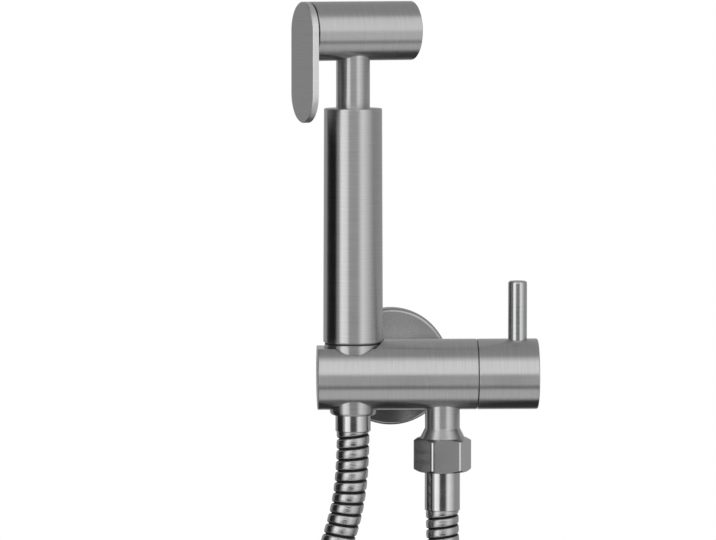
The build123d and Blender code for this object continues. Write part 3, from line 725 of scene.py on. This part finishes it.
def ferrule(name, place, foot, top):
    """A plain crimped sleeve between two heights."""
    return turned(name, place, [
        (ferrule_bore, foot), (ferrule_r, foot, 0.5), (ferrule_r, top, 0.4), (ferrule_bore, top),
    ])


supply_ferrule = ferrule("supply_ferrule_turned", below_bar, supply_end, -41.5)
stands_for(supply_ferrule, "root", "brushed_steel", "supply_ferrule")
handset_ferrule = ferrule("handset_ferrule_turned", upright, handset_end, -3.8)
stands_for(handset_ferrule, "hose_end", "brushed_steel", "handset_ferrule")
tell(outlet, supply_ferrule, handset_ferrule)

# %% Hose nut
nut_top, nut_foot, nut_flats = -27.1, -41.4, 22.0
nut_corner, corner_steps = 2.0, 4
nut_turn = 6.5
hexagon = []
for side in range(6):
    corner_way = radians(60 * side + nut_turn)
    middle = (nut_flats / 2 - nut_corner) / cos(radians(30))
    for step in range(-corner_steps, corner_steps + 1):
        angle = corner_way + radians(30) * step / corner_steps
        hexagon.append((middle * cos(corner_way) + nut_corner * cos(angle),
                        middle * sin(corner_way) + nut_corner * sin(angle)))
nut = prism("hose_nut_milled", below_bar, hexagon, nut_foot - 1, nut_top + 1)

blank_r, face_r, shoulder = 13.8, 10.45, 1.93
cut(nut, turned("nut_blank", below_bar, [
    (ferrule_bore, nut_foot), (face_r, nut_foot, 0.3), (blank_r, nut_foot + shoulder),
    (blank_r, nut_top - shoulder), (face_r, nut_top, 0.3), (9.55, nut_top), (9.55, -37.9),
    (ferrule_bore, -37.9),
]), "INTERSECT")
true_faces(nut)
stands_for(nut, "root", "brushed_steel", "hose_nut")
tell(nut)

# %% [markdown]
# ## The tie
#
# A black cable tie holds both turns at the coil's foot. A curve with a round bevel would make
# its band a wire, so a flat section is carried round the two strands point by point. The
# small square head and the cut tail that passes through it are blocks with softened edges.

# %% Band of the tie
tie_x, tie_z = coil_x, coil_z - coil_r
band_mid_r = 7.75
half_width, half_thick = 4.5, 0.6
flat_half, side_half = 4.1, 0.35


def band_path(steps=20):
    """Points of the band's middle and its outward ways, round both strands."""
    path = []
    for y, first in ((coil_front_y, 90), (coil_back_y, 270)):
        for step in range(steps + 1):
            angle = radians(first + 180 * step / steps)
            out = Vector((0, cos(angle), sin(angle)))
            path.append((Vector((tie_x, y, tie_z)) + out * band_mid_r, out))
    return path


band_section = [
    (-half_width, -side_half), (-flat_half, -half_thick),
    (flat_half, -half_thick), (half_width, -side_half),
    (half_width, side_half), (flat_half, half_thick),
    (-flat_half, half_thick), (-half_width, side_half),
]
vertices, faces = [], []
rows = band_path()
for middle, out in rows:
    for sideways, outward in band_section:
        vertices.append((middle + Vector((sideways, 0, 0)) + out * outward) * mm)
wide = len(band_section)
for row in range(len(rows)):
    for k in range(wide):
        after, above = (k + 1) % wide, ((row + 1) % len(rows)) * wide
        faces.append((row * wide + k, row * wide + after, above + after, above + k))
tie = mesh_object("hose_tie_band", vertices, faces)
stands_for(tie, "root", "plastic", "hose_tie")
tie.data.shade_smooth()
tie.data.set_sharp_from_angle(angle=radians(40))
print("band:", len(rows), "rows")


# %% Head and tail of the tie
def oblong(half_x, half_y):
    """The outline of a block."""
    return [(-half_x, -half_y), (half_x, -half_y), (half_x, half_y), (-half_x, half_y)]


tail_aside = 0.9
tie_head = prism("hose_tie_head", standing(tie_x, z=tie_z), oblong(5.6, 4.0), 7.6, 12.2)
tail_at = standing(tie_x, tail_aside - wall_gap, tie_z)
tie_tail = prism("hose_tie_tail", tail_at, oblong(4.2, 0.5), 8.0, 19.0)
for part, width in ((tie_head, 0.8), (tie_tail, 0.25)):
    bevel = part.modifiers.new("soft_edges", "BEVEL")
    bevel.width = width * mm
    bevel.segments = 3
    part.data.shade_smooth()
    stands_for(part, "root", "plastic", "hose_tie")
tell(tie, tie_head, tie_tail)

# %% [markdown]
# ## Shader maths
#
# A finish could be wired by hand in the Shader Editor, but it is easier to read and to repeat
# as sums. This small class wraps one socket: + - and * add a Math node and give back its
# output, so `1 - mask` works on both sides. Any other node comes from `node`, which sets its
# settings before its sockets.


# %% A socket that can be calculated with
class Socket:
    """One output socket of a node tree."""

    def __init__(self, tree, socket=None):
        self.tree = tree
        self.socket = socket

    def node(self, kind, settings, sockets, output=0):
        """Add a node: its settings first, then its sockets' values or links. Gives one output."""
        made = self.tree.nodes.new(kind)
        for key, value in settings.items():
            setattr(made, key, value)
        for key, value in sockets.items():
            if isinstance(value, Socket):
                self.tree.links.new(value.socket, made.inputs[key])
            else:
                made.inputs[key].default_value = value
        return Socket(self.tree, made.outputs[output])

    def maths(self, operation, one, other=0.0):
        """Add a Math node."""
        return self.node("ShaderNodeMath", {"operation": operation}, {0: one, 1: other})

    def __add__(self, other):
        return self.maths("ADD", self, other)

    def __sub__(self, other):
        return self.maths("SUBTRACT", self, other)

    def __rsub__(self, other):
        return self.maths("SUBTRACT", other, self)

    def __mul__(self, other):
        return self.maths("MULTIPLY", self, other)

    __radd__ = __add__
    __rmul__ = __mul__

    def place(self):
        """Where a point is on its piece, in metres."""
        return self.node("ShaderNodeTexCoord", {}, {}, "Object")

    def noise(self, scale, detail, roughness=0.5):
        """A noise over this place."""
        return self.node("ShaderNodeTexNoise", {}, {
            "Vector": self, "Scale": scale, "Detail": detail, "Roughness": roughness,
        })

    def relief(self, strength, depth):
        """A normal that has this socket as its height."""
        return self.node("ShaderNodeBump", {}, {"Strength": strength, "Distance": depth, "Height": self})

    def between(self, low, high):
        """0 below low, 1 above high, with soft ends."""
        return self.node("ShaderNodeMapRange", {"interpolation_type": "SMOOTHSTEP"},
                         {"Value": self, "From Min": low, "From Max": high})

    def mix(self, dark, light):
        """A colour between two, with this socket as the share of the second."""
        return self.node("ShaderNodeMix", {"data_type": "RGBA"}, {0: self, 6: dark, 7: light}, 2)


# %% Materials
def grey(level):
    """A neutral colour."""
    return (level, level, level, 1.0)


def new_material(name):
    """A material with its starting socket and its Principled shader."""
    material = bpy.data.materials.new(name)
    material.use_nodes = True
    return material, Socket(material.node_tree), material.node_tree.nodes["Principled BSDF"]


def connect(shader, **sockets):
    """Link or set a shader's sockets; a double underscore in a name stands for a space."""
    for key, value in sockets.items():
        entry = shader.inputs[key.replace("__", " ")]
        if isinstance(value, Socket):
            value.tree.links.new(value.socket, entry)
        else:
            entry.default_value = value


# %% [markdown]
# ## Brushed steel
#
# Brushing leaves thousands of fine scratches that run round the axis of a turned part. They
# are far finer than a pixel, and what they do is spread every reflection along the tube.
# Cycles' anisotropy does that, and its own tangent runs round local Z, which is why every
# piece has its axis there. The scratches that the eye can still see could be a picture laid
# on the surface, but that shows its seams and its pixels, and a noise has neither. It is
# drawn out long round the axis, in the colour, the roughness and a faint bump, and a second,
# cloudy noise makes the brushing a little uneven.

# %% Brushed metal
scratches_across, scratches_along = 2600.0, 70.0
quarter_turn = 0.25


def brushed(name, level, rough, spread, grain=1.0, straight=False):
    """Brushed steel: its grey, roughness and anisotropy, the strength of its scratches, and
    whether they run straight on a flat piece or round the axis."""
    material, start, shader = new_material(name)
    place = start.place()
    flat = start.node("ShaderNodeVectorMath", {"operation": "MULTIPLY"}, {0: place, 1: (1, 1, 0)})
    across = start.node("ShaderNodeSeparateXYZ", {}, {0: place}, "Z")
    if not straight:
        across = across + start.node("ShaderNodeVectorMath", {"operation": "LENGTH"}, {0: flat}, "Value")
    fine = start.node("ShaderNodeCombineXYZ", {}, {"Z": across * scratches_across})
    drawn = start.node("ShaderNodeVectorMath", {"operation": "MULTIPLY_ADD"},
                       {0: flat, 1: (scratches_along, scratches_along, 0.0), 2: fine})
    scratch = drawn.noise(1.0, 3.0, 0.65)
    cloud = place.noise(55.0, 2.0)
    share = (scratch - 0.5) * (1.5 * grain) + (cloud - 0.5) * 0.35 + 0.5
    connect(
        shader, Base__Color=share.mix(grey(level * 0.84), grey(level * 1.16)), Metallic=1.0,
        Roughness=(scratch - 0.5) * (0.16 * grain) + (cloud - 0.5) * 0.08 + rough,
        Normal=scratch.relief(0.12 * grain, 0.04 * mm), Anisotropic=spread,
        Anisotropic__Rotation=quarter_turn,
    )
    return material


steel = brushed("steel_brushed_round", 0.5, 0.33, 1.0)
steel_level = brushed("steel_level", 0.59, 0.42, 0.3, 1.0, straight=True)
steel_ground = brushed("steel_ground", 0.52, 0.24, 0.15, 0.2)
steel_fine = brushed("steel_fine", 0.5, 0.23, 0.8, 0.6)
steel_pressed = brushed("steel_pressed", 0.39, 0.26, 0.0, 0.2)
print("steel nodes:", len(steel.node_tree.nodes))

# %% [markdown]
# ## The hose's strip
#
# The strip of the hose is polished bright, and its seam is painted dark as shade. An ambient
# occlusion node could find the seam, but it is slow and its edge is soft. The wound tubes
# already carry how deep each vertex lies, as the attribute `depth`, so the seam gets a painted
# shade, nearly black, and is rougher than the crown. The rollers leave faint lines along the
# strip, which the attribute `run` places: a noise that depends on nothing but the length.


# %% Hose finish
def hose_finish():
    """Bright wound strip: painted shade in the seams, fine rolling lines, uneven polish."""
    material, start, shader = new_material("steel_wound_strip")
    depth = start.node("ShaderNodeAttribute", {"attribute_name": "depth"}, {}, "Fac")
    run = start.node("ShaderNodeAttribute", {"attribute_name": "run"}, {}, "Fac")
    cloud = start.place().noise(240.0, 3.0)
    rolled = start.node("ShaderNodeTexNoise", {"noise_dimensions": "1D"},
                        {"W": run, "Scale": 3300.0, "Detail": 1.0})
    # Painted shade: the groove turns nearly black and less metallic, where its shadow would fall
    seam_shade = depth.between(0.05, 0.4)
    bright = (cloud - 0.5) * 0.5 + 0.5
    clean = bright.mix(grey(0.4), grey(0.55))
    connect(
        shader, Base__Color=seam_shade.mix(clean, grey(0.015)), Metallic=1.0 - seam_shade * 0.6,
        Roughness=(cloud - 0.5) * 0.12 + seam_shade * 0.3 + 0.22, Normal=rolled.relief(1.0, 0.12 * mm),
    )
    return material


hose_steel = hose_finish()
print("hose finish:", len(hose_steel.node_tree.nodes), "nodes")

# %% [markdown]
# ## Brass, satin steel, rubber, ceramic and plastic
#
# The hidden works get the plain finishes of their real kind. One even colour each would do
# for a first look, but machined metal has a fine grain and moulded or lapped parts a fine
# skin, and both are one noise at the right size. The ferrules and the inlet are drawn bright,
# almost to a mirror.


# %% Machined and moulded finishes
def two_tones(colour, down, up):
    """A darker and a lighter tone of a colour."""
    dark = tuple(part * down for part in colour) + (1.0,)
    light = tuple(min(part * up, 1.0) for part in colour) + (1.0,)
    return dark, light


def machined(name, colour, rough, size):
    """Inner parts in metal: turned, with fine grain of a given size per metre."""
    material, start, shader = new_material(name)
    grain = start.place().noise(size, 3.0)
    connect(
        shader, Base__Color=grain.mix(*two_tones(colour, 0.8, 1.15)), Metallic=1.0,
        Roughness=(grain - 0.5) * 0.2 + rough, Normal=grain.relief(0.1, 0.05 * mm),
    )
    return material


def dull(name, colour, rough, size, relief=0.2):
    """Rubber, plastic or ceramic: a fine moulded or lapped skin."""
    material, start, shader = new_material(name)
    grain = start.place().noise(size, 2.0)
    connect(
        shader, Base__Color=grain.mix(*two_tones(colour, 0.8, 1.2)),
        Roughness=(grain - 0.5) * 0.15 + rough, Normal=grain.relief(relief, 0.06 * mm),
    )
    return material


def polished(name, level, rough):
    """Bright steel: almost a mirror, with faint drawing marks and hazy patches."""
    material, start, shader = new_material(name)
    place = start.place()
    drawn = start.node("ShaderNodeVectorMath", {"operation": "MULTIPLY"},
                       {0: place, 1: (1600.0, 1600.0, 60.0)})
    marks = drawn.noise(1.0, 2.0)
    haze = place.noise(180.0, 3.0)
    connect(
        shader, Base__Color=haze.mix(grey(level * 0.9), grey(level * 1.1)), Metallic=1.0,
        Roughness=(haze - 0.5) * 0.12 + (marks - 0.5) * 0.06 + rough,
        Normal=marks.relief(0.06, 0.04 * mm),
    )
    return material


finishes = {
    "brushed_steel": steel,
    "hose_steel": hose_steel,
    "brass": machined("brass_machined", (0.62, 0.47, 0.22), 0.32, 900.0),
    "steel_parts": machined("steel_satin", (0.5, 0.5, 0.5), 0.32, 1200.0),
    "rubber": dull("rubber_black", (0.01, 0.01, 0.01), 0.6, 1800.0),
    "ceramic": dull("ceramic_lapped", (0.8, 0.8, 0.77), 0.25, 2500.0, 0.05),
    "plastic": dull("plastic_moulded", (0.03, 0.03, 0.03), 0.5, 1600.0),
}
bright_steel = polished("steel_polished", 0.5, 0.17)
print("finishes:", ", ".join(finishes))

# %% [markdown]
# ## Who wears which finish
#
# Every solid and every new piece names a slot, and the slot gives its finish, so that a
# finish is changed in one place. A few pieces are worked otherwise than the rest of the
# brushed steel: the thumb plate is brushed level, the nut is ground, the lever is brushed
# finer, the flange is pressed, and the ferrules and the inlet are drawn bright.

# %% Give out the finishes
nodes_slot = {row["node"]: row["material_slot"] for row in frame["record"]["subparts"]}
for name, node in frame["nodes"].items():
    node.data.materials.clear()
    node.data.materials.append(finishes[nodes_slot[name]])
for piece in bpy.context.scene.objects:
    if piece.type == "MESH" and piece.name not in frame["nodes"]:
        piece.data.materials.clear()
        piece.data.materials.append(finishes[piece["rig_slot"]])
for piece, finish in (
    (frame["nodes"]["trigger_paddle"], steel_level), (nut, steel_ground),
    (supply_ferrule, bright_steel), (handset_ferrule, bright_steel), (spigot, bright_steel),
    (thread, bright_steel), (flange, steel_pressed), (lever, steel_fine),
):
    piece.data.materials[0] = finish
print("slots:", len(nodes_slot), "solids have a finish")

# %% [markdown]
# ## The studio
#
# Metal shows its surroundings, so the look of brushed steel is made by cards, as a
# photographer makes it. A picture of a real room would light it too, but its windows can't be
# moved to where a tube needs its bright or its dark edge. Two tall soft boxes stand left and
# right of the camera. Between them a light card stands above a dark one, and a pale card lies
# below like a table. A black flag further left cuts the dark edge that runs down every tube,
# another dark card closes the low back, and a grey shell is round them all. They are patches
# of spheres round the set, named by where they stand, and only reflections see them.

# %% A card
card_distance = 3.0
studio_centre = Vector((0.0, -0.044, 0.03))


def card(name, azimuths, elevations, levels, soft=(0.12, 0.12, 0.12, 0.12), reach=card_distance):
    """A patch of a sphere, in degrees: azimuth 0 is in front and + is right. Levels run from left to
    right, and soft is the share that fades at the left, the right, the foot and the top."""
    wide, tall = 24, 16
    vertices, faces, spots = [], [], []
    for row in range(tall + 1):
        for k in range(wide + 1):
            azimuth = radians(azimuths[0] + (azimuths[1] - azimuths[0]) * k / wide)
            elevation = radians(elevations[0] + (elevations[1] - elevations[0]) * row / tall)
            way = Vector((sin(azimuth) * cos(elevation), -cos(azimuth) * cos(elevation), sin(elevation)))
            vertices.append(studio_centre + way * reach)
            spots.append((k / wide, row / tall))
    for row in range(tall):
        for k in range(wide):
            here = row * (wide + 1) + k
            faces.append((here, here + 1, here + wide + 2, here + wide + 1))
    piece = mesh_object(name, vertices, faces)
    layer = piece.data.uv_layers.new(name="card")
    for loop in piece.data.loops:
        layer.data[loop.index].uv = spots[loop.vertex_index]
    material, start, shader = new_material(name)
    material.node_tree.nodes.remove(shader)
    across = start.node("ShaderNodeTexCoord", {}, {}, "UV")
    u = start.node("ShaderNodeSeparateXYZ", {}, {0: across}, "X")
    v = start.node("ShaderNodeSeparateXYZ", {}, {0: across}, "Y")
    inside = 1.0
    for side, fade in zip((u, 1 - u, v, 1 - v), soft):
        inside = side.between(0.0, fade) * inside
    glow = start.node("ShaderNodeEmission", {}, {"Color": u.mix(grey(levels[0]), grey(levels[1]))})
    clear = start.node("ShaderNodeBsdfTransparent", {}, {})
    both = start.node("ShaderNodeMixShader", {}, {0: inside, 1: clear, 2: glow})
    out = material.node_tree.nodes["Material Output"]
    material.node_tree.links.new(both.socket, out.inputs["Surface"])
    piece.data.materials.append(material)
    for sight in ("camera", "diffuse", "shadow", "transmission", "volume_scatter"):
        setattr(piece, "visible_" + sight, False)
    return piece


# %% Cards round the set
hard = 0.002
cards = [
    card("card_shell", (-180, 180), (-90, 90), (0.47, 0.47), (hard, hard, hard, hard), reach=3.4),
    card("card_low_back", (90, 270), (-90, -25), (0.05, 0.05), (0.14, 0.14, hard, 0.2), reach=3.3),
    card("card_table", (-100, 100), (-82, -44), (0.85, 0.85), (0.1, 0.1, 0.1, 0.1), reach=3.2),
    card("card_front_high", (-36, 34), (0, 54), (1.2, 1.2), (0.2, 0.2, 0.16, 0.2), reach=3.1),
    card("card_front_low", (-26, 34), (-47, 3), (0.08, 0.08), (0.16, 0.3, 0.16, 0.1), reach=3.15),
    card("card_left_box", (-60, -17), (-36, 60), (1.9, 1.3), (0.2, 0.24, 0.1, 0.1)),
    card("card_right_box", (14, 88), (-36, 60), (1.85, 0.4), (0.34, 0.12, 0.1, 0.1)),
    card("card_left_flag", (-132, -68), (-60, 66), (0.02, 0.02), (0.2, 0.1, 0.12, 0.12), reach=2.9),
]
print("cards:", len(cards))

# %% [markdown]
# ## White background, floor and lamps
#
# The background is the world itself: white where it is seen, straight, in a reflection or
# through something clear, and a soft grey as a light. The floor is a disc of pale paper that
# catches the shadow and fades out before its rim shows. Two large lamps in front give the
# shadow its direction. Reflections don't show them, because those belong to the cards.

# %% World
world = bpy.data.worlds.new("studio")
bpy.context.scene.world = world
world.use_nodes = True
world.cycles.sampling_method = "NONE"
sky = Socket(world.node_tree)
seen = 0.0
for kind in ("Camera", "Glossy", "Transmission"):
    ray = sky.node("ShaderNodeLightPath", {}, {}, "Is " + kind + " Ray")
    seen = sky.maths("MAXIMUM", ray, seen)
background = world.node_tree.nodes["Background"]
world_light = 0.55
world.node_tree.links.new(seen.mix(grey(world_light), grey(1.0)).socket, background.inputs["Color"])
bpy.context.scene.view_settings.view_transform = "Standard"
print("world light:", world_light)

# %% Floor
floor_r, floor_thick, floor_z = 1150, 3, -335.0
fade_start, fade_end = 0.55, 1.1
floor = turned("floor", standing(0, -60, floor_z), [
    (0, -floor_thick), (floor_r, -floor_thick), (floor_r, 0), (0, 0),
], around=96)
material, start, shader = new_material("floor_paper")
place = start.place()
fibre = place.noise(60.0, 4.0)
faded = start.node("ShaderNodeVectorMath", {"operation": "LENGTH"}, {0: place}, "Value")
faded = faded.between(fade_start, fade_end)
connect(shader, Base__Color=fibre.mix(grey(0.78), grey(0.82)), Roughness=0.7, Specular__IOR__Level=0.2,
        Alpha=1 - faded)
floor.data.materials.append(material)
floor.visible_glossy = False
print("floor at", floor_z, "mm")

# %% Lamps
for name, spot, size, power in (
    ("lamp_key", (-1.2, -1.6, 1.5), 1.2, 26.0),
    ("lamp_fill", (1.5, -1.3, 0.9), 1.4, 12.0),
):
    light = bpy.data.lights.new(name, "AREA")
    light.size = size
    light.energy = power
    lamp = bpy.data.objects.new(name, light)
    lamp.location = spot
    lamp.rotation_euler = (studio_centre - Vector(spot)).to_track_quat("-Z", "Y").to_euler()
    lamp.visible_glossy = False
    bpy.context.collection.objects.link(lamp)
    print(name, "gives", power, "W")
